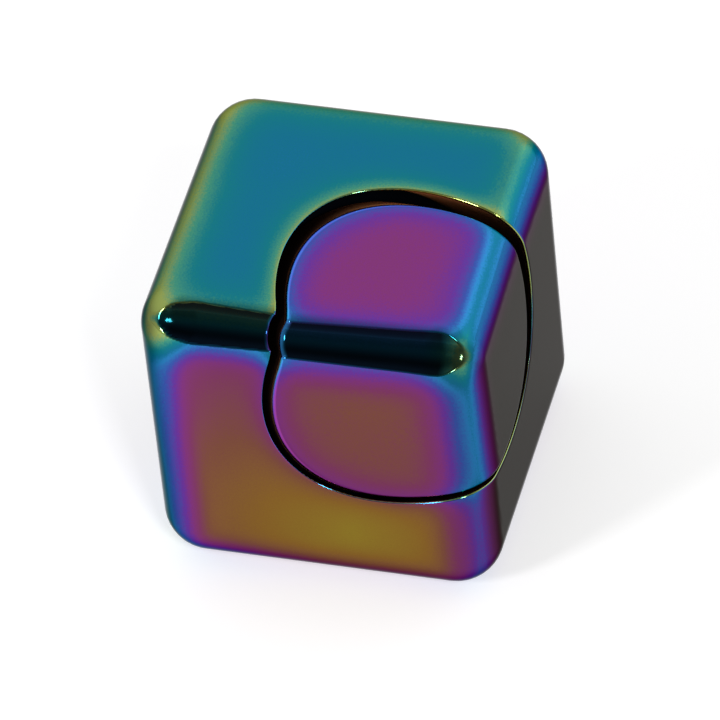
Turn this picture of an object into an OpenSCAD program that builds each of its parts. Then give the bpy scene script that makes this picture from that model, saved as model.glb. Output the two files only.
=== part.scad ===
// Fidget cube: a polished metal cube that spins round its own corner-to-corner diagonal.
// Two opposite corners are cut free as round caps, joined by an axle through a ball bearing.
// All lengths are in millimetres. The cube stands on its bottom face, front towards -Y.

/* [Cube] */
// Length of one side of the cube, flat face to flat face
cube_side = 25; // [24:0.5:32]
// Rounding radius along every edge and corner of the cube
edge_radius = 3.4; // [2.4:0.1:4.2]

/* [Corner caps] */
// Diameter of each round corner cap, across the spin axis
cap_diameter = 20.8; // [19:0.2:22]
// Gap between a cap and its pocket, both round the side and underneath
cap_gap = 0.6; // [0.4:0.05:0.8]
// Distance by which the round wall of a cap sits off the spin axis, towards the bottom front edge
cap_offset = 0.35; // [0:0.05:0.35]
// Angle by which the front cap rests out of line with the body
front_cap_turn = 2; // [-4:0.5:4]

/* [Bearing] */
// Bore of the bearing, which is also the journal diameter of the axle
bearing_bore = 6.35; // [6:0.05:6.35]
// Outside diameter of the bearing
bearing_outside = 12.7; // [12.7:0.05:13]
// Width of the bearing along the spin axis
bearing_width = 4.76; // [4.6:0.02:5]
// Diameter of one bearing ball
ball_diameter = 1.588; // [1.5:0.001:1.588]

/* [Groove] */
// Radius of the groove where it crosses from the body to the cap
groove_radius = 1.85; // [1.7:0.05:2]
// Depth of the groove's centre line below the two faces that meet at its edge
groove_inset = 0.2; // [0:0.05:0.3]

/* [Hidden] */
$fn = 96;

half_side = cube_side / 2;
// the spin axis runs through two opposite corners, so it leans this far from upright
axis_lean = acos(1 / sqrt(3));
axis_bearing = -45;

cap_radius = cap_diameter / 2;
pocket_radius = cap_radius + cap_gap;
// the web between the two pockets carries the bearing with a thin lip either side
web_half = bearing_width / 2 + 0.8;
cap_base = web_half + cap_gap;
beyond = 2 * cube_side;

// bearing section
bore_radius = bearing_bore / 2;
seat_radius = bearing_outside / 2;
pitch_radius = (bore_radius + seat_radius) / 2;
ball_radius = ball_diameter / 2;
ball_count = 10;
raceway_radius = ball_radius + 0.035;
inner_land = pitch_radius - 0.5;
outer_land = pitch_radius + 0.5;
seat_clearance = 0.01;

// shields sit in the mouth of the outer ring, held by split snap rings
shield_thickness = 0.2;
shield_face = bearing_width / 2 - 0.55;
shield_mouth = outer_land + 0.42;
snap_wire = 0.25;

// cage: a ring with one open pocket for each ball
cage_wall = 0.5;
cage_below = 1.15;
cage_above = 0.4;
cage_pocket = ball_radius + 0.05;

// axle and spacers
spacer_radius = inner_land - 0.1;
spacer_length = cap_base - bearing_width / 2;
pin_radius = 2;
pin_length = 6;
pin_chamfer = 0.4;
pin_hole_depth = pin_length + 0.3;

// groove shape: distance along the edge from its middle, and radius there;
// it narrows just before each end and then runs out to a point on the rounded corner
groove_profile = [
    [-0.54 * cube_side, groove_radius + 1.45],
    [-0.43 * cube_side, groove_radius - 0.3],
    [-0.41 * cube_side, groove_radius - 0.33],
    [-0.385 * cube_side, groove_radius - 0.07],
    [-0.325 * cube_side, groove_radius + 0.23],
    [-0.05 * cube_side, groove_radius],
    [0.30 * cube_side, groove_radius + 0.2],
    [0.40 * cube_side, groove_radius + 0.32],
    [0.435 * cube_side, groove_radius + 0.23],
    [0.45 * cube_side, groove_radius + 0.27],
    [0.4625 * cube_side, groove_radius + 0.43],
    [0.54 * cube_side, groove_radius + 2.1]
];

cap_metal = [0.24, 0.36, 0.62];
body_metal = [0.16, 0.50, 0.55];
steel = [0.75, 0.76, 0.78];
bright_steel = [0.88, 0.89, 0.90];
bronze = [0.70, 0.55, 0.30];

// ---- placing ----

// moves a shape from the middle of the cube to where the cube stands
module at_middle() {
    translate([0, 0, half_side])
        children();
}

// turns a shape drawn along +Z so that it points at the front top right corner
module along_diagonal() {
    rotate([0, axis_lean, axis_bearing])
        children();
}

// turns a shape about the spin axis
module turned(angle) {
    rotate(a = angle, v = [1, -1, 1])
        children();
}

// swaps the front corner for the rear one
module at_rear() {
    rotate(a = 180, v = [0, 1, 1])
        children();
}

// ---- shared shapes, drawn about the middle of the cube ----

module rounded_cube() {
    flat = cube_side - 2 * edge_radius;
    cube([cube_side, flat, flat], center = true);
    cube([flat, cube_side, flat], center = true);
    cube([flat, flat, cube_side], center = true);
    for (turn = [[0, 0, 0], [90, 0, 0], [0, 90, 0]])
        rotate(turn)
            for (x = [-1, 1], y = [-1, 1])
                translate([x * flat / 2, y * flat / 2, 0])
                    cylinder(r = edge_radius, h = flat, center = true);
    for (x = [-1, 1], y = [-1, 1], z = [-1, 1])
        translate([x * flat / 2, y * flat / 2, z * flat / 2])
            rotate([45, 0, 45])
                sphere(r = edge_radius);
}

// round-bottomed groove along the top front edge, running out at both ends
module groove() {
    last = len(groove_profile) - 1;
    line = [for (p = groove_profile) [p[1], p[0]]];
    ends = [[0, groove_profile[last][0]], [0, groove_profile[0][0]]];
    translate([0, groove_inset - half_side, half_side - groove_inset])
        rotate([0, 90, 0])
            rotate_extrude()
                polygon(concat(line, ends));
}

// a ring about the spin axis from one height to another
module ring(inner, outer, low, high) {
    rotate_extrude()
        polygon([[inner, low], [outer, low], [outer, high], [inner, high]]);
}

// one corner of the cube, cut free by a cylinder along the spin axis
module corner_cap() {
    difference() {
        intersection() {
            rounded_cube();
            translate(cap_offset / sqrt(2) * [0, -1, -1])
                along_diagonal()
                    translate([0, 0, cap_base])
                        cylinder(r = cap_radius, h = beyond);
        }
        groove();
        along_diagonal()
            translate([0, 0, cap_base - 1])
                cylinder(r = pin_radius + seat_clearance, h = pin_hole_depth + 1);
    }
}

// both corner pockets and the stepped bore for the bearing, which stops against a lip at the rear
module pockets_and_seat() {
    seat = seat_radius + seat_clearance;
    lip = seat_radius - 0.6;
    rotate_extrude()
        polygon([
            [0, -cube_side],
            [pocket_radius, -cube_side],
            [pocket_radius, -web_half],
            [lip, -web_half],
            [lip, -bearing_width / 2],
            [seat, -bearing_width / 2],
            [seat, web_half],
            [pocket_radius, web_half],
            [pocket_radius, cube_side],
            [0, cube_side]
        ]);
}

// ---- named pieces ----

module body() {
    color(body_metal)
        at_middle()
            difference() {
                rounded_cube();
                along_diagonal()
                    pockets_and_seat();
                groove();
                at_rear()
                    groove();
            }
}

module front_corner_cap() {
    color(cap_metal)
        at_middle()
            turned(front_cap_turn)
                corner_cap();
}

module rear_corner_cap() {
    color(cap_metal)
        at_middle()
            at_rear()
                corner_cap();
}

module axle() {
    low = cap_base + pin_length;
    color(steel)
        at_middle()
            along_diagonal()
                rotate_extrude()
                    polygon([
                        [0, -low],
                        [pin_radius - pin_chamfer, -low],
                        [pin_radius, -low + pin_chamfer],
                        [pin_radius, -cap_base],
                        [bore_radius - seat_clearance, -cap_base],
                        [bore_radius - seat_clearance, cap_base],
                        [pin_radius, cap_base],
                        [pin_radius, low - pin_chamfer],
                        [pin_radius - pin_chamfer, low],
                        [0, low]
                    ]);
}

module spacer(low) {
    color(bright_steel)
        at_middle()
            along_diagonal()
                ring(bore_radius, spacer_radius, low, low + spacer_length);
}

module front_spacer() {
    spacer(bearing_width / 2);
}

module rear_spacer() {
    spacer(-cap_base);
}

module bearing_outer_ring() {
    mouth = shield_face - shield_thickness;
    color(steel)
        at_middle()
            along_diagonal()
                rotate_extrude()
                    difference() {
                        polygon([
                            [seat_radius, -bearing_width / 2 + 0.2],
                            [seat_radius, bearing_width / 2 - 0.2],
                            [seat_radius - 0.2, bearing_width / 2],
                            [shield_mouth, bearing_width / 2],
                            [shield_mouth, mouth],
                            [outer_land, mouth],
                            [outer_land, -mouth],
                            [shield_mouth, -mouth],
                            [shield_mouth, -bearing_width / 2],
                            [seat_radius - 0.2, -bearing_width / 2]
                        ]);
                        translate([pitch_radius, 0])
                            circle(r = raceway_radius);
                    }
}

module bearing_inner_ring() {
    color(steel)
        at_middle()
            along_diagonal()
                rotate_extrude()
                    difference() {
                        polygon([
                            [bore_radius + 0.15, -bearing_width / 2],
                            [inner_land, -bearing_width / 2],
                            [inner_land, bearing_width / 2],
                            [bore_radius + 0.15, bearing_width / 2],
                            [bore_radius, bearing_width / 2 - 0.15],
                            [bore_radius, -bearing_width / 2 + 0.15]
                        ]);
                        translate([pitch_radius, 0])
                            circle(r = raceway_radius);
                    }
}

module bearing_cage() {
    color(bronze)
        at_middle()
            along_diagonal()
                difference() {
                    ring(pitch_radius - cage_wall / 2, pitch_radius + cage_wall / 2, -cage_below, cage_above);
                    for (i = [1 : ball_count])
                        rotate(i * 360 / ball_count)
                            translate([pitch_radius, 0, 0])
                                sphere(r = cage_pocket);
                }
}

module bearing_ball(i) {
    color(bright_steel)
        at_middle()
            along_diagonal()
                rotate(i * 360 / ball_count)
                    translate([pitch_radius, 0, 0])
                        sphere(r = ball_radius);
}

// side is 1 for the front of the bearing and -1 for the rear
module at_side(side) {
    mirror([0, 0, side < 0 ? 1 : 0])
        children();
}

module shield(side) {
    color(bright_steel)
        at_middle()
            along_diagonal()
                at_side(side)
                    ring(inner_land + 0.08, shield_mouth - 0.02, shield_face - shield_thickness, shield_face);
}

// round wire, open on one side so that it can be squeezed into place
module snap_ring(side) {
    color(steel)
        at_middle()
            along_diagonal()
                at_side(side)
                    rotate([0, 0, 12])
                        rotate_extrude(angle = 336)
                            translate([shield_mouth - snap_wire / 2 - 0.02, shield_face + snap_wire / 2 + 0.01])
                                circle(d = snap_wire, $fn = 24);
}

body();
front_corner_cap();
rear_corner_cap();
axle();
front_spacer();
rear_spacer();
bearing_outer_ring();
bearing_inner_ring();
bearing_cage();
for (i = [1 : ball_count])
    bearing_ball(i);
shield(1);  // front_shield
shield(-1);  // rear_shield
snap_ring(1);  // front_snap_ring
snap_ring(-1);  // rear_snap_ring
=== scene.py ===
"""Looks for the fidget cube: a rainbow-coated metal cube whose opposite corners are spinning caps."""
import math

import bpy
import numpy as np
from mathutils import Matrix, Vector


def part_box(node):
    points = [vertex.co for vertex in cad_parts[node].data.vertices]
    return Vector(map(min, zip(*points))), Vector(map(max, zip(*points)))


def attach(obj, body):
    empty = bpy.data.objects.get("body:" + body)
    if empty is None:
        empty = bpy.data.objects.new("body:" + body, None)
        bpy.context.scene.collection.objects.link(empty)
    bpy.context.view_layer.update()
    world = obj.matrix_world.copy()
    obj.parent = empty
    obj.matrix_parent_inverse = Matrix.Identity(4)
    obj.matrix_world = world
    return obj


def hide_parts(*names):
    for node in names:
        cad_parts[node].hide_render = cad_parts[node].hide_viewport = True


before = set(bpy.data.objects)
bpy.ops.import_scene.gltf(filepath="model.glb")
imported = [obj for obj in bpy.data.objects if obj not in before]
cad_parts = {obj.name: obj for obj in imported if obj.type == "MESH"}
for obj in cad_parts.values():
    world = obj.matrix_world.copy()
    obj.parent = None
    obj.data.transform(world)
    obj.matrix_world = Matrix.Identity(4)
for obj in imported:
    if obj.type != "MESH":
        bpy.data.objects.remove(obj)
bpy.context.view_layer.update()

MM = 0.001

# ---------------------------------------------------------------- sizes, in millimetres

body_low, body_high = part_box("body")
SIDE = (body_high.x - body_low.x) / MM
HALF = SIDE / 2
CENTRE = (body_low + body_high) / 2

EDGE_RADIUS = 3.4           # rounding along the cube's edges
CAP_RADIUS = 10.4           # round corner cap, across the spin axis
POCKET_RADIUS = 11.0        # the pocket it turns in
WEB_HALF = 3.18             # half the web between the pockets
CAP_BASE = 3.78             # underside of a cap, from the middle of the cube
SEAT_RADIUS = 6.36          # bearing seat in the web
LIP_RADIUS = 5.75           # lip that the bearing stops against
BEARING_HALF = 2.38         # half the width of the bearing
PIN_RADIUS = 2.01           # blind hole for the axle in a cap
PIN_DEPTH = 6.3
CAP_OFFSET = 0.35           # the round wall of a cap sits this far off the spin axis
CAP_TURN = math.radians(2)  # the front cap rests this far out of line
FAR = 22.0                  # further from the middle than any point of the cube

RIM_RADIUS = 0.25           # softened rims of the caps and pockets
RIM_GROWTH = 0.18           # the rims are rounder by this much deep in the grooves
GROOVE_EDGE = 0.10          # softened edges of the groove
GROOVE_INSET = 0.2          # depth of the groove's centre line below the faces
GROOVE_REACH = 0.25         # the coating counts as groove up to this far outside it

# the groove as in the part: distance along its edge as a share of the side, and radius there
GROOVE_LINE = [(-0.54, 3.3), (-0.43, 1.55), (-0.41, 1.52), (-0.385, 1.78), (-0.325, 2.08), (-0.05, 1.85),
               (0.30, 2.05), (0.40, 2.17), (0.435, 2.08), (0.45, 2.12), (0.4625, 2.28), (0.54, 3.95)]
GROOVE_TIP = np.array([11.7, -11.5, 11.5])  # where the cap's groove runs out

# spin axis, and two directions square to it; the first points along the grooved edge, away from the corner
AXIS = np.array([1.0, -1.0, 1.0]) / math.sqrt(3)
OUT = np.array([-1.0, 0.0, 0.0]) - np.dot([-1.0, 0.0, 0.0], AXIS) * AXIS
OUT /= np.linalg.norm(OUT)
ACROSS = np.cross(AXIS, OUT)
CAP_MIDDLE = CAP_OFFSET * np.array([0.0, -1.0, -1.0]) / math.sqrt(2)


# ---------------------------------------------------------------- the shapes as distance fields

def rounded_cube(p):
    """Distance to the plain cube with rounded edges, negative inside."""
    q = np.abs(p) - (HALF - EDGE_RADIUS)
    outside = np.linalg.norm(np.maximum(q, 0), axis=-1)
    return outside + np.minimum(q.max(axis=-1), 0) - EDGE_RADIUS


def smooth_radius(x):
    """Groove radius at a distance along its edge, with the changes of slope softened."""
    along, radius = np.array(GROOVE_LINE).T
    steps = np.linspace(-0.15, 0.15, 5)
    return np.mean([np.interp(x + s, along * SIDE, radius) for s in steps], axis=0)


def groove(p):
    """Negative inside the groove that runs along the top front edge."""
    away = np.hypot(p[..., 1] + HALF - GROOVE_INSET, p[..., 2] - HALF + GROOVE_INSET)
    return away - smooth_radius(p[..., 0])


def at_rear(p):
    """The same point seen from the opposite corner."""
    return np.stack([-p[..., 0], p[..., 2], p[..., 1]], axis=-1)


def both(a, b, r):
    """The overlap of two solids with the edge between them rounded."""
    return np.minimum(np.maximum(a, b), -r) + np.hypot(np.maximum(a + r, 0), np.maximum(b + r, 0))


def axial(p):
    """Height of a point along the spin axis, and its distance from the axis."""
    height = p @ AXIS
    return height, np.linalg.norm(p - height[..., None] * AXIS, axis=-1)


def cap_skin(p):
    """The cube with the front groove cut into it."""
    return both(rounded_cube(p), -groove(p), GROOVE_EDGE)


def rim_radius(p):
    """Rounding of the rims of caps and pockets, which is larger down in the grooves."""
    return RIM_RADIUS + RIM_GROWTH * np.clip(-rounded_cube(p) / 1.2 - 0.25, 0, 1)


def cap_solid(p):
    """The cap without its flat underside, which is added as plain rings."""
    return both(cap_skin(p), axial(p - CAP_MIDDLE)[1] - CAP_RADIUS, rim_radius(p))


def body_skin(p):
    """The cube with both grooves cut into it."""
    return both(cap_skin(p), -groove(at_rear(p)), GROOVE_EDGE)


def body_solid(p):
    height, reach = axial(p)
    pocket = np.maximum(reach - POCKET_RADIUS, WEB_HALF - np.abs(height))
    return both(body_skin(p), -pocket, rim_radius(p))


def slope(field, p, step=0.002):
    """Direction in which the field grows fastest, from small steps each way."""
    out = np.empty_like(p)
    for i in range(3):
        d = np.zeros(3)
        d[i] = step
        out[..., i] = (field(p + d) - field(p - d)) / (2 * step)
    return out


def onto(field, p, rounds=14):
    """Moves points onto the surface where the field is zero."""
    for _ in range(rounds):
        g = slope(field, p)
        p = p - (field(p) / np.maximum((g * g).sum(axis=-1), 0.2))[..., None] * g
    return p


def first_hit(field, start, way, near, far, rounds=34):
    """Distance along each ray at which it leaves the solid."""
    near = np.full(start.shape[:-1], near) if np.isscalar(near) else near.copy()
    far = np.full(start.shape[:-1], far) if np.isscalar(far) else far.copy()
    for _ in range(rounds):
        middle = (near + far) / 2
        inside = field(start + middle[..., None] * way) < 0
        near = np.where(inside, middle, near)
        far = np.where(inside, far, middle)
    return (near + far) / 2


# ---------------------------------------------------------------- turned shapes with an uneven outline

def radial(turns):
    """Directions square to the spin axis."""
    return np.cos(turns)[:, None] * OUT + np.sin(turns)[:, None] * ACROSS


def crowded(count, sharpness):
    """Numbers from -1 to 1, close together near 0."""
    t = np.linspace(-1, 1, count + 1)
    return np.sinh(sharpness * t) / math.sinh(sharpness)


def to_ends(count, sharpness):
    """Numbers from 0 to 1, close together near both ends."""
    t = np.linspace(-1, 1, count)
    return 0.5 * (1 + np.tanh(sharpness * t) / math.tanh(sharpness))


def to_start(count, sharpness):
    """Numbers from 0 to 1, close together near 0."""
    t = np.linspace(0, 1, count)
    return np.expm1(sharpness * t) / math.expm1(sharpness)


def spot(turns, reach, height):
    """Points at a reach and a height, for every turn about the axis."""
    reach, height = np.broadcast_arrays(reach, height)
    return reach[..., None] * radial(turns)[:, None, :] + height[..., None] * AXIS


def rings_of(rows, values):
    """The same values for every turn about the axis."""
    return np.repeat(np.asarray(values, float)[None, :], rows, axis=0)


def cap_points():
    """Skin and underside of a cap, and the points on the axis at its top and its pin hole."""
    turns = np.pi * crowded(440, 3.4)[:-1]
    rows = len(turns)
    reach = rings_of(rows, CAP_RADIUS * np.concatenate([
        np.linspace(0, 0.5, 60)[1:], 0.5 + 0.5 * (1 - to_start(90, 3.2)[::-1])[1:]]))
    base = spot(turns, reach, np.zeros_like(reach)) + CAP_MIDDLE
    way = np.broadcast_to(AXIS, base.shape)
    height = first_hit(cap_skin, base, way, CAP_BASE, FAR)
    top = base + height[..., None] * AXIS
    rim = height[:, -1:]
    drop = 1 - to_start(22, 3.6)[1:][None, :]
    wall_low = CAP_BASE + 0.15
    wall = spot(turns, np.full((rows, 21), CAP_RADIUS), wall_low + (rim - wall_low) * drop) + CAP_MIDDLE
    skin = onto(cap_solid, np.concatenate([top, wall], axis=1))
    under_reach = rings_of(rows, [CAP_RADIUS - 0.15, 8.0, 5.0, PIN_RADIUS, PIN_RADIUS])
    under_height = rings_of(rows, [CAP_BASE] * 4 + [CAP_BASE + PIN_DEPTH])
    under = spot(turns, under_reach, under_height)
    under[:, 0] += CAP_MIDDLE
    apex = CAP_MIDDLE + first_hit(cap_skin, CAP_MIDDLE[None, :], AXIS[None, :], CAP_BASE, FAR)[0] * AXIS
    return skin, under, apex, (CAP_BASE + PIN_DEPTH) * AXIS


def body_points():
    """Skin of the body with the pocket walls, and the bore through its web."""
    quarter = crowded(214, 3.0)[:-1] * np.pi / 2
    turns = np.concatenate([quarter, quarter + np.pi])
    rows = len(turns)
    ends = []
    for side in (1, -1):
        base = spot(turns, np.full((rows, 1), POCKET_RADIUS), np.zeros((rows, 1)))
        way = np.broadcast_to(side * AXIS, base.shape)
        ends.append(first_hit(body_skin, base, way, 0.0, FAR))
    start = np.arctan2(POCKET_RADIUS, ends[0])
    stop = np.pi - np.arctan2(POCKET_RADIUS, ends[1])
    lean = start + (stop - start) * to_ends(196, 1.7)[None, :]
    way = spot(turns, np.sin(lean), np.cos(lean))
    far = first_hit(body_skin, np.zeros_like(way), way, 5.0, 23.0)
    outer = far[..., None] * way
    fall = to_start(14, 3.2)[1:-1][None, :]
    walls = [spot(turns, np.full((rows, 12), POCKET_RADIUS), side * (end + (WEB_HALF + 0.3 - end) * fall))
             for side, end in zip((1, -1), ends)]
    skin = onto(body_solid, np.concatenate([walls[0][:, ::-1], outer, walls[1]], axis=1))
    bore = [(POCKET_RADIUS, -WEB_HALF), (LIP_RADIUS, -WEB_HALF), (LIP_RADIUS, -BEARING_HALF),
            (SEAT_RADIUS, -BEARING_HALF), (SEAT_RADIUS, WEB_HALF), (POCKET_RADIUS, WEB_HALF)]
    bore_reach, bore_height = zip(*bore)
    inner = spot(turns, rings_of(rows, bore_reach), rings_of(rows, bore_height))
    return skin, inner


# ---------------------------------------------------------------- the coating, with painted shade, painted reflections and painted highlights, from the place on the cube

# place along the rainbow in the middle of each face
CAP_TOP, BODY_TOP = 0.44, 0.765
CAP_FRONT, BODY_FRONT = 0.295, 0.03
RIGHT, LEFT, BACK, UNDER = 0.40, 0.58, 0.30, 0.34

FACE_SHARPNESS = 5          # how soon one face's colours give way to the next round an edge
FAR_PAINTED_REFLECTION = 0.8              # painted dull reflection on the left and back faces along their top edge
GROOVE_PAINTED_SHADE = 0.99         # painted shade in a groove outside its brighter band of painted reflection
GROOVE_REFLECTION_BAND = 0.17          # width of that band, as a share of a quarter turn
GAP_FILM = 0.22             # place along the rainbow, and painted shade, of the walls of the gap
GAP_PAINTED_SHADE = 0.98
GAP_LIGHT_SIDE = np.array([0.0, 0.71, 0.71])  # where the unpolished walls of the gap are left out of the painted shade, so their orange stands in for light falling in
GAP_LIGHT_SHARPNESS = 14


def rise(distance, height, reach, roundness=2.0):
    """Height at an edge, which falls away smoothly over the reach."""
    return height * np.exp(-(np.maximum(distance, 0) / reach) ** roundness)


def gather(*rises, power=1.5):
    """Joins rises from several edges so that they add up softly in the corners."""
    return sum(np.maximum(r, 0) ** power for r in rises) ** (1 / power)


def step_up(value, start, length):
    """0 up to the start, then a straight climb to 1 over the length."""
    return np.clip((value - start) / length, 0, 1)


def flat(face, across, along):
    """Two coordinates on a face, carried straight outwards over its rounded edges."""
    size = np.maximum(face, 0.2)
    return across * 0.5 / size, along * 0.5 / size


def groove_share(p):
    """1 inside a groove, 0 outside, from how far the point lies under the rounded cube."""
    near = np.minimum(groove(p), groove(at_rear(p))) < GROOVE_REACH
    return np.clip(-rounded_cube(p) / 0.06, 0, 1) * near


def top_film(u, cut, is_cap):
    x, y = flat(u[..., 2], u[..., 0], u[..., 1])
    if is_cap:
        return CAP_TOP + gather(cut, rise(0.5 - x, 0.42, 0.07, 1), rise(0.5 + y, 0.27, 0.11))
    return BODY_TOP + gather(cut, rise(0.5 + x, 0.24, 0.13), rise(0.5 - x, 0.17, 0.12),
                             rise(0.5 - y, 0.19, 0.13), rise(0.5 + y, 0.15, 0.15))


def front_looks(u, cut, is_cap):
    """Place along the rainbow, painted dull reflection and painted shade of the front face."""
    x, z = flat(-u[..., 1], u[..., 0], u[..., 2])
    # painted shade over the whole front face, deeper towards its right edge and lighter at its left
    painted_shade = 0.22 + rise(0.5 - x, 0.18, 0.11, 4)
    if is_cap:
        film = CAP_FRONT + gather(cut, rise(0.5 - x, 0.36, 0.14, 2.5), rise(0.5 - z, 0.33, 0.155, 3))
        return film, 0.0, painted_shade
    middle = BODY_FRONT + gather(0.45 * np.clip(z + 0.26, 0, 1), 0.48 * np.clip(0.10 - x, 0, 1),
                                 0.55 * np.clip(x - 0.10, 0, 1))
    low_rise = rise(0.5 + z, 0.42, 0.14, 2.5) * (1 + 1.7 * np.clip(-x, 0, 0.3))
    others = gather(rise(0.5 + x, 0.58, 0.165, 4), rise(0.5 - x, 0.46, 0.16, 3), low_rise, power=4)
    film = gather(middle, gather(others, rise(0.5 - z, 0.68, 0.165, 3)), power=3) + 0.8 * cut
    # painted dull reflection along the left edge of the body's front face
    return film, rise(0.5 + x, 0.55, 0.05), painted_shade - rise(0.5 + x, 0.13, 0.20, 4)


def right_looks(u, is_cap):
    """Place along the rainbow, painted dull reflection and painted shade of the right face."""
    y, z = flat(u[..., 0], u[..., 1], u[..., 2])
    below = 0.0 if is_cap else np.clip((0.05 - z) / 0.2, 0, 1)
    side_edge = 0.5 + y + 0.03 * below
    high_edge = 0.5 - z - 0.03
    film = RIGHT + gather(rise(side_edge, 0.38, 0.065, 1.4), rise(high_edge, 0.27, 0.085, 2.2))
    edge = np.minimum(side_edge, high_edge)
    # painted shade near the edges of the right face, with a thin darker line just inside them; the rest of
    # the face gets a painted dull reflection
    painted_shade = rise(edge, 0.22, 0.13, 6) + rise(np.abs(edge - 0.09), 0.14, 0.03)
    return film, 1 - rise(edge, 1, 0.11, 3), painted_shade


def hidden_looks(middle, face, across, along, cut, height):
    """Place along the rainbow, and a painted dull reflection along the top edge, of a face that is the
    same all round.
    """
    a, b = flat(face, across, along)
    sides = [rise(0.5 - np.abs(k), height, 0.11) for k in (a, b)]
    # the second value is a painted dull reflection along the top edge
    return middle + 0.06 * np.sin(5 * a + 3 * b) + gather(cut, *sides), rise(0.5 - b, FAR_PAINTED_REFLECTION, 0.12, 4)


def groove_looks(place, from_wall, is_cap):
    """Place along the rainbow and painted shade inside the groove, round its wall and along it."""
    turn = np.arctan2(HALF - GROOVE_INSET - place[..., 2],
                      place[..., 1] + HALF - GROOVE_INSET) / (np.pi / 2)
    along = place[..., 0] / SIDE
    # painted shade fills the groove, eased in a band round its middle as a painted reflection
    if is_cap:
        tint = 0.77 - 0.6 * (turn - 0.6) ** 2
        tint = tint + (0.96 - tint) * step_up(along, 0.34, 0.10)
        groove_painted_shade = GROOVE_PAINTED_SHADE - rise(np.abs(turn - 0.47), 0.15, GROOVE_REFLECTION_BAND)
        painted_glint_tint = 0.68
    else:
        tint = 1.0 - 0.32 * turn
        groove_painted_shade = GROOVE_PAINTED_SHADE - rise(np.abs(turn - 0.45), 0.17, GROOVE_REFLECTION_BAND)
        painted_glint_tint = 0.46
    # painted glint at the mouth of the groove, where it meets the gap: a lighter tint and half the painted
    # shade; the shade is also eased near the groove's ends, where the lamp highlights fall
    painted_glint_mouth = np.clip(1.2 - from_wall / 0.3, 0, 1)
    groove_painted_shade = groove_painted_shade * (1 - 0.22 * step_up(np.abs(along), 0.39, 0.05)) * (1 - 0.5 * painted_glint_mouth)
    return tint + (painted_glint_tint - tint) * painted_glint_mouth, groove_painted_shade


def coating(p, normal, is_cap):
    """Place along the rainbow, and the shares of painted dull reflection, painted shade, unpolished gap
    wall (whose orange partly stands in for light) and painted rim highlight of the coating.

    Each face has its own place along the rainbow, which rises towards its edges and the round cut.
    """
    u = p / SIDE
    wall = CAP_RADIUS if is_cap else POCKET_RADIUS
    reach = axial(p - CAP_MIDDLE if is_cap else p)[1]
    from_wall = np.abs(reach - wall)
    if is_cap:
        cut = rise((wall - reach) / SIDE, 0.18, 0.04, 1.3)
    else:
        cut = rise((reach - wall) / SIDE, 0.26, 0.028, 1)

    right, right_painted_reflection, right_painted_shade = right_looks(u, is_cap)
    left, left_painted_reflection = hidden_looks(LEFT, -u[..., 0], u[..., 1], u[..., 2], cut, 0.30)
    back, back_painted_reflection = hidden_looks(BACK, u[..., 1], u[..., 0], u[..., 2], cut, 0.58)
    front, front_painted_reflection, front_painted_shade = front_looks(u, cut, is_cap)
    top = top_film(u, cut, is_cap)
    under, _ = hidden_looks(UNDER, -u[..., 2], u[..., 0], u[..., 1], cut, 0.26)

    pulls = [sign * normal[..., i] for i in range(3) for sign in (1, -1)]
    weights = [np.clip(k, 0, 1) ** FACE_SHARPNESS + 1e-6 for k in pulls]
    on_right, on_left, on_back, on_front, _, _ = weights
    total = sum(weights)
    film = sum(w * f for w, f in zip(weights, [right, left, back, front, top, under])) / total
    # painted dull reflection on the right face and along the left, back and front edges; painted shade on
    # the right and front faces and along the far edges
    far_painted_reflection = on_left * left_painted_reflection + on_back * back_painted_reflection
    painted_dull_reflection = (on_right * right_painted_reflection + on_front * front_painted_reflection + far_painted_reflection) / total
    painted_shade = (on_right * right_painted_shade + on_front * front_painted_shade + 0.1 * far_painted_reflection) / total
    if is_cap:
        film = film + 0.10 * np.exp(-((p - GROOVE_TIP) ** 2).sum(axis=-1) / 3.0)

    # each groove takes its own colour and painted shade
    in_groove = groove_share(p)
    for place in (p, at_rear(p)):
        here = in_groove * (groove(place) < GROOVE_REACH)
        tint, groove_painted_shade = groove_looks(place, from_wall, is_cap)
        film = film * (1 - here) + tint * here
        painted_dull_reflection = painted_dull_reflection * (1 - here)
        painted_shade = painted_shade * (1 - here) + groove_painted_shade * here

    # the walls of the gap are painted in shade, except on its top side, where their orange stands in for
    # light falling in
    depth = -rounded_cube(p)
    in_gap = np.clip(depth / 0.2 - 0.8, 0, 1) * (from_wall < 0.03)
    outward = p - (p @ AXIS)[..., None] * AXIS
    gap_light = np.clip(outward @ GAP_LIGHT_SIDE / np.maximum(reach, 1), 0, 1) ** GAP_LIGHT_SHARPNESS
    film = film * (1 - in_gap) + GAP_FILM * in_gap
    painted_shade = painted_shade * (1 - in_gap) + GAP_PAINTED_SHADE * (1 - gap_light) * in_gap
    # painted highlight: a thin band along the rims of caps and pockets, whose colour is doubled in the
    # material
    painted_rim_highlight = (from_wall < RIM_RADIUS) * step_up(depth, 0.03, 0.04) * np.clip((0.2 - depth) / 0.06, 0, 1)
    return film, painted_dull_reflection * (1 - in_gap), painted_shade, in_gap, painted_rim_highlight


# ---------------------------------------------------------------- meshes

LOOKS = ("film", "painted_dull_reflection", "painted_shade", "coarse_with_painted_light", "rim")
PLAIN_LOOKS = (0, 0, 1, 1, 0)  # of the surfaces that stay inside the cube, which are painted fully in shade and take the orange, rough share of the gap walls


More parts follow.
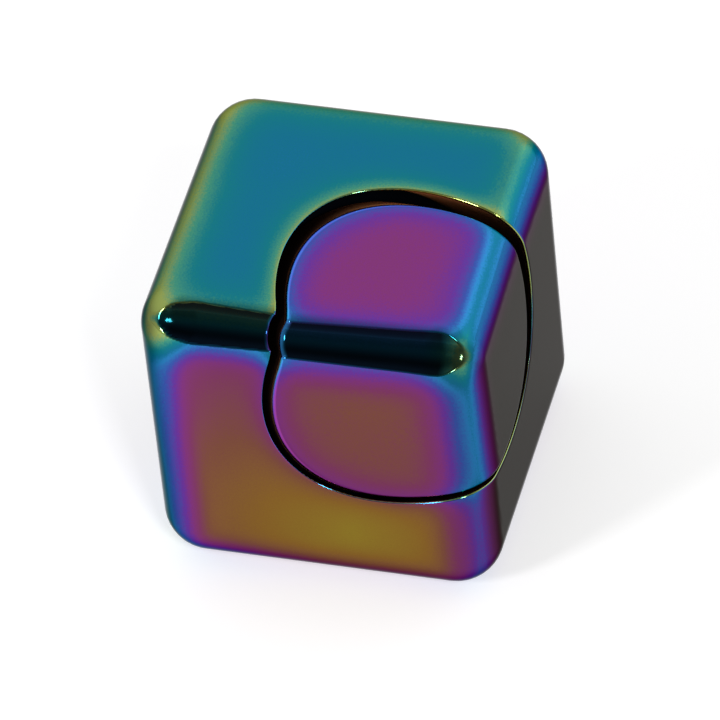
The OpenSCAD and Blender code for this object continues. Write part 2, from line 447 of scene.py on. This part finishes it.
def build(name, skin, extra, is_cap, poles=None):
    """One closed mesh from rings of points; skin points take their normals from the field they lie on."""
    rows, n_skin = skin.shape[:2]
    grid = np.concatenate([skin, extra], axis=1)
    n_all = grid.shape[1]
    points = grid.reshape(-1, 3)
    field = cap_solid if is_cap else body_solid
    skin_normal = slope(field, skin)
    skin_normal /= np.linalg.norm(skin_normal, axis=-1, keepdims=True)
    normals = np.zeros_like(grid)
    normals[:, :n_skin] = skin_normal
    looks = np.zeros((len(LOOKS),) + grid.shape[:2])
    looks[:, :, :n_skin] = coating(skin, skin_normal, is_cap)
    looks[:, :, n_skin:] = np.array(PLAIN_LOOKS)[:, None, None]

    index = np.arange(rows * n_all).reshape(rows, n_all)
    after = np.roll(index, -1, axis=0)
    last = n_all - 1 if poles is not None else n_all
    quads = []
    smooth = []
    for j in range(last):
        k = (j + 1) % n_all
        quads.append(np.stack([index[:, j], index[:, k], after[:, k], after[:, j]], axis=1))
        smooth.append(np.full(rows, j < n_skin - 1))
    faces = np.concatenate(quads).tolist()
    smooth = np.concatenate(smooth)
    if poles is not None:
        points = np.concatenate([points, np.array(poles)])
        first, end = rows * n_all, rows * n_all + 1
        faces += [(first, a, b) for a, b in zip(index[:, 0].tolist(), after[:, 0].tolist())]
        faces += [(end, b, a) for a, b in zip(index[:, -1].tolist(), after[:, -1].tolist())]
        smooth = np.concatenate([smooth, np.ones(rows, bool), np.zeros(rows, bool)])
        apex = np.array(poles[0])[None, :]
        apex_normal = slope(field, apex)
        apex_normal /= np.linalg.norm(apex_normal)
        vertex_normal = np.concatenate([normals.reshape(-1, 3), apex_normal, -AXIS[None, :]])
        apex_looks = [float(k[0]) for k in coating(apex, apex_normal, is_cap)]
        pole_looks = np.array([apex_looks, PLAIN_LOOKS]).T
        looks = np.concatenate([looks.reshape(len(LOOKS), -1), pole_looks], axis=1)
    else:
        vertex_normal = normals.reshape(-1, 3)

    mesh = bpy.data.meshes.new(name)
    mesh.from_pydata((points * MM).tolist(), [], faces)
    mesh.update()
    mesh.polygons.foreach_set("use_smooth", np.ones(len(faces), bool))
    starts = np.empty(len(faces), int)
    counts = np.empty(len(faces), int)
    mesh.polygons.foreach_get("loop_start", starts)
    mesh.polygons.foreach_get("loop_total", counts)
    corners = np.empty(len(mesh.loops), int)
    mesh.loops.foreach_get("vertex_index", corners)
    face_normal = np.empty(len(faces) * 3)
    mesh.polygons.foreach_get("normal", face_normal)
    owner = np.repeat(np.arange(len(faces)), counts)
    loop_normal = np.where(smooth[owner][:, None], vertex_normal[corners],
                           face_normal.reshape(-1, 3)[owner])
    mesh.normals_split_custom_set(loop_normal.tolist())
    for label, values in zip(LOOKS, looks):
        layer = mesh.attributes.new(label, "FLOAT", "POINT")
        layer.data.foreach_set("value", values.ravel())
    piece = bpy.data.objects.new(name, mesh)
    bpy.context.collection.objects.link(piece)
    return piece


cap_skin_points, cap_under, cap_apex, pin_end = cap_points()
body_skin_points, body_inner = body_points()

body = build("body_metal_shell", body_skin_points, body_inner, False)
front_cap = build("front_cap_metal_shell", cap_skin_points, cap_under, True, (cap_apex, pin_end))
rear_cap = front_cap.copy()
rear_cap.data = front_cap.data.copy()
rear_cap.name = "rear_cap_metal_shell"
bpy.context.collection.objects.link(rear_cap)

to_centre = Matrix.Translation(CENTRE)
front_turn = Matrix.Rotation(CAP_TURN, 4, Vector(AXIS))
rear_turn = Matrix.Rotation(math.pi, 4, Vector((0, 1, 1)))
for piece, move in (
        (body, to_centre),
        (front_cap, to_centre @ front_turn),
        (rear_cap, to_centre @ rear_turn)):
    piece.data.transform(move)

for piece, owner, node, slot in (
        (body, "cube_body", "body", "body_metal"),
        (front_cap, "corner_caps", "front_corner_cap", "cap_metal"),
        (rear_cap, "corner_caps", "rear_corner_cap", "cap_metal")):
    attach(piece, owner)
    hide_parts(node)


# ---------------------------------------------------------------- materials

def srgb(r, g, b):
    """Linear colour from 0 to 255 screen values."""
    return tuple((c / 255 / 12.92) if c / 255 <= 0.04045 else ((c / 255 + 0.055) / 1.055) ** 2.4
                 for c in (r, g, b)) + (1.0,)


# the coating's colours in turn, as screen values
RAINBOW = [
    (0.00, (155, 135, 45)),
    (0.16, (145, 105, 45)),
    (0.28, (130, 80, 65)),
    (0.38, (130, 60, 100)),
    (0.46, (130, 55, 125)),
    (0.54, (105, 55, 155)),
    (0.62, (60, 85, 170)),
    (0.70, (45, 125, 185)),
    (0.76, (25, 110, 145)),
    (0.84, (25, 120, 130)),
    (0.92, (70, 145, 120)),
    (1.00, (145, 160, 85)),
]


# what each share is mixed towards: a dull grey for the painted reflection, orange for the unpolished gap
# walls and the painted light in them, near black for the painted shade
SHADES = {"painted_dull_reflection": (57, 52, 44), "coarse_with_painted_light": (255, 170, 110), "painted_shade": (5, 8, 14)}


def new_material(name):
    material = bpy.data.materials.new(name)
    material.use_nodes = True
    nodes, links = material.node_tree.nodes, material.node_tree.links
    return material, nodes, links, nodes["Principled BSDF"]


def coated_metal(name):
    """Polished metal whose colour follows the mesh's own looks, which include painted shade, a painted
    dull reflection and painted rim highlights, with slow drift and fine grain.
    """
    material, nodes, links, shader = new_material(name)
    film = nodes.new("ShaderNodeAttribute")
    film.attribute_name = "film"
    place = nodes.new("ShaderNodeTexCoord")
    cloud = nodes.new("ShaderNodeTexNoise")
    cloud.inputs["Scale"].default_value = 180
    cloud.inputs["Detail"].default_value = 2
    links.new(place.outputs["Object"], cloud.inputs["Vector"])
    drift = nodes.new("ShaderNodeMath")
    drift.operation = "MULTIPLY_ADD"
    drift.inputs[1].default_value = 0.04
    links.new(cloud.outputs["Fac"], drift.inputs[0])
    links.new(film.outputs["Fac"], drift.inputs[2])
    shift = nodes.new("ShaderNodeMath")
    shift.operation = "SUBTRACT"
    shift.inputs[1].default_value = 0.08
    grain = nodes.new("ShaderNodeTexNoise")
    grain.inputs["Scale"].default_value = 8000
    grain.inputs["Detail"].default_value = 3
    links.new(place.outputs["Object"], grain.inputs["Vector"])
    speckle = nodes.new("ShaderNodeMath")
    speckle.operation = "MULTIPLY_ADD"
    speckle.inputs[1].default_value = 0.12
    links.new(grain.outputs["Fac"], speckle.inputs[0])
    links.new(drift.outputs[0], speckle.inputs[2])
    links.new(speckle.outputs[0], shift.inputs[0])
    ramp = nodes.new("ShaderNodeValToRGB")
    stops = ramp.color_ramp.elements
    for i, (at, colour) in enumerate(RAINBOW):
        stop = stops[i] if i < len(stops) else stops.new(at)
        stop.position = at
        stop.color = srgb(*colour)
    links.new(shift.outputs[0], ramp.inputs["Fac"])
    colour = ramp.outputs["Color"]
    # mixes in, in turn, the painted dull reflection, the orange of the gap walls and the painted shade
    for label, shade in SHADES.items():
        amount = nodes.new("ShaderNodeAttribute")
        amount.attribute_name = label
        mix = nodes.new("ShaderNodeMix")
        mix.data_type = "RGBA"
        mix.inputs["B"].default_value = srgb(*shade)
        links.new(amount.outputs["Fac"], mix.inputs["Factor"])
        links.new(colour, mix.inputs["A"])
        colour = mix.outputs["Result"]
    # painted rim highlight: the colour is added to itself along the rims
    painted_rim_highlight_mix = nodes.new("ShaderNodeMix")
    painted_rim_highlight_mix.data_type = "RGBA"
    painted_rim_highlight_mix.blend_type = "ADD"
    rim = nodes.new("ShaderNodeAttribute")
    rim.attribute_name = "rim"
    links.new(rim.outputs["Fac"], painted_rim_highlight_mix.inputs["Factor"])
    links.new(colour, painted_rim_highlight_mix.inputs["A"])
    links.new(colour, painted_rim_highlight_mix.inputs["B"])
    links.new(painted_rim_highlight_mix.outputs["Result"], shader.inputs["Base Color"])
    smear = nodes.new("ShaderNodeTexNoise")
    smear.inputs["Scale"].default_value = 90
    smear.inputs["Detail"].default_value = 4
    links.new(place.outputs["Object"], smear.inputs["Vector"])
    rough = nodes.new("ShaderNodeMapRange")
    rough.inputs["To Min"].default_value = 0.08
    rough.inputs["To Max"].default_value = 0.14
    links.new(smear.outputs["Fac"], rough.inputs["Value"])
    coarse_with_painted_light = nodes.new("ShaderNodeAttribute")
    coarse_with_painted_light.attribute_name = "coarse_with_painted_light"
    rougher = nodes.new("ShaderNodeMath")
    rougher.operation = "MULTIPLY_ADD"
    rougher.inputs[1].default_value = 0.4
    links.new(coarse_with_painted_light.outputs["Fac"], rougher.inputs[0])
    links.new(rough.outputs["Result"], rougher.inputs[2])
    links.new(rougher.outputs[0], shader.inputs["Roughness"])
    shader.inputs["Metallic"].default_value = 1.0
    shader.inputs["Specular Tint"].default_value = (0.4, 0.4, 0.4, 1)
    return material


def plain_metal(name, colour, rough_low, rough_high, scale):
    """Bare metal with grain in its colour and its roughness."""
    material, nodes, links, shader = new_material(name)
    place = nodes.new("ShaderNodeTexCoord")
    grain = nodes.new("ShaderNodeTexNoise")
    grain.inputs["Scale"].default_value = scale
    grain.inputs["Detail"].default_value = 5
    links.new(place.outputs["Object"], grain.inputs["Vector"])
    tint = nodes.new("ShaderNodeMix")
    tint.data_type = "RGBA"
    tint.inputs["A"].default_value = srgb(*colour)
    tint.inputs["B"].default_value = srgb(*[c * 0.8 for c in colour])
    links.new(grain.outputs["Fac"], tint.inputs["Factor"])
    links.new(tint.outputs["Result"], shader.inputs["Base Color"])
    rough = nodes.new("ShaderNodeMapRange")
    rough.inputs["To Min"].default_value = rough_low
    rough.inputs["To Max"].default_value = rough_high
    links.new(grain.outputs["Fac"], rough.inputs["Value"])
    links.new(rough.outputs["Result"], shader.inputs["Roughness"])
    shader.inputs["Metallic"].default_value = 1.0
    return material


def dress(piece, material):
    piece.data.materials.clear()
    piece.data.materials.append(material)


coated = coated_metal("rainbow_coated_metal")
for piece in (body, front_cap, rear_cap):
    dress(piece, coated)

ground_steel = plain_metal("ground_steel", (196, 198, 202), 0.22, 0.38, 900)
bright_steel = plain_metal("polished_ball_steel", (226, 227, 230), 0.05, 0.12, 400)
sheet_steel = plain_metal("pressed_sheet_steel", (206, 207, 210), 0.25, 0.42, 700)
spring_steel = plain_metal("spring_wire", (150, 152, 156), 0.25, 0.4, 900)
bronze = plain_metal("cage_bronze", (190, 148, 92), 0.3, 0.45, 800)

finishes = {
    "axle": ground_steel, "front_spacer": ground_steel, "rear_spacer": ground_steel,
    "bearing_outer_ring": ground_steel, "bearing_inner_ring": ground_steel, "bearing_cage": bronze,
    "front_shield": sheet_steel, "rear_shield": sheet_steel,
    "front_snap_ring": spring_steel, "rear_snap_ring": spring_steel,
}
for name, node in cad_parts.items():
    finish = bright_steel if "ball" in name else finishes.get(name)
    if finish:
        for i in range(len(node.material_slots)):
            node.material_slots[i].material = finish


# ---------------------------------------------------------------- floor, light and camera

def link(obj):
    bpy.context.collection.objects.link(obj)
    return obj


bpy.ops.mesh.primitive_plane_add(size=4.0, location=(0, 0, 0))
floor = bpy.context.object
floor.name = "floor"
floor_material, _, _, floor_shader = new_material("pale_floor")
floor_shader.inputs["Base Color"].default_value = (0.65, 0.65, 0.65, 1)
floor_shader.inputs["Roughness"].default_value = 0.9
floor_shader.inputs["Emission Color"].default_value = (1, 1, 1, 1)
floor_shader.inputs["Emission Strength"].default_value = 0.43
floor.data.materials.append(floor_material)


VIEW_TURN = math.radians(18.80)
VIEW_RISE = math.radians(44.56)
VIEW_ROLL = math.radians(-6.22)
VIEW_DISTANCE = 28.22 * SIDE * MM
VIEW_LENS = 492.9
VIEW_ASIDE, VIEW_ABOVE = 0.0117, -0.0595  # what the camera aims at, from the cube's middle, in sides
LAMP_DISTANCE = 0.6


def softbox(name, size, power, direction):
    """A soft rectangular lamp that faces the cube from one direction."""
    light = bpy.data.lights.new(name, "AREA")
    light.shape = "RECTANGLE"
    light.size, light.size_y = size
    light.energy = power
    lamp = link(bpy.data.objects.new(name, light))
    lamp.location = CENTRE + Vector(direction).normalized() * LAMP_DISTANCE
    lamp.rotation_euler = (CENTRE - lamp.location).to_track_quat("-Z", "Y").to_euler()


softbox("left_lamp", (0.10, 0.17), 1.6, (-0.60, -0.66, 0.47))
softbox("right_lamp", (0.10, 0.15), 1.3, (0.42, -0.62, 0.67))

CEILING_SHADE = Vector((0.1, -0.6, 0.79)).normalized()  # the tent is darker round this direction
SIDE_WINDOW = Vector((0.70, 0.67, 0.23)).normalized()
world = bpy.data.worlds.new("studio_tent")
bpy.context.scene.world = world
world.use_nodes = True
tent, tent_links = world.node_tree.nodes, world.node_tree.links
way = tent.new("ShaderNodeTexCoord")


def tent_patch(direction, outer, inner, low, high):
    """Light that changes from low to high between two angles from a direction, in degrees."""
    facing = tent.new("ShaderNodeVectorMath")
    facing.operation = "DOT_PRODUCT"
    facing.inputs[1].default_value = direction
    tent_links.new(way.outputs["Generated"], facing.inputs[0])
    patch = tent.new("ShaderNodeMapRange")
    patch.interpolation_type = "SMOOTHSTEP"
    patch.inputs["From Min"].default_value = math.cos(math.radians(outer))
    patch.inputs["From Max"].default_value = math.cos(math.radians(inner))
    patch.inputs["To Min"].default_value = low
    patch.inputs["To Max"].default_value = high
    tent_links.new(facing.outputs["Value"], patch.inputs["Value"])
    return patch.outputs["Result"]


strength = tent.new("ShaderNodeMath")
strength.operation = "ADD"
tent_links.new(tent_patch(CEILING_SHADE, 68, 30, 1.0, 0.25), strength.inputs[0])
tent_links.new(tent_patch(SIDE_WINDOW, 30, 6, 0.0, 0.5), strength.inputs[1])
tent["Background"].inputs["Color"].default_value = (1, 1, 1, 1)
tent_links.new(strength.outputs[0], tent["Background"].inputs["Strength"])

to_camera = Vector((math.sin(VIEW_TURN) * math.cos(VIEW_RISE),
                    -math.cos(VIEW_TURN) * math.cos(VIEW_RISE), math.sin(VIEW_RISE)))
level = Vector((0, 0, 1)).cross(to_camera).normalized()
upward = to_camera.cross(level)
right = math.cos(VIEW_ROLL) * level + math.sin(VIEW_ROLL) * upward
up = math.cos(VIEW_ROLL) * upward - math.sin(VIEW_ROLL) * level
aim = CENTRE + (VIEW_ASIDE * right + VIEW_ABOVE * up) * SIDE * MM

camera_data = bpy.data.cameras.new("camera")
camera_data.lens = VIEW_LENS
camera_data.sensor_width = 36
camera_data.clip_start = 0.01
camera_data.clip_end = 20
camera = link(bpy.data.objects.new("camera", camera_data))
turn = Matrix((right, up, to_camera)).transposed().to_4x4()
camera.matrix_world = Matrix.Translation(aim + to_camera * VIEW_DISTANCE) @ turn
bpy.context.scene.camera = camera
bpy.context.scene.view_settings.view_transform = "Standard"
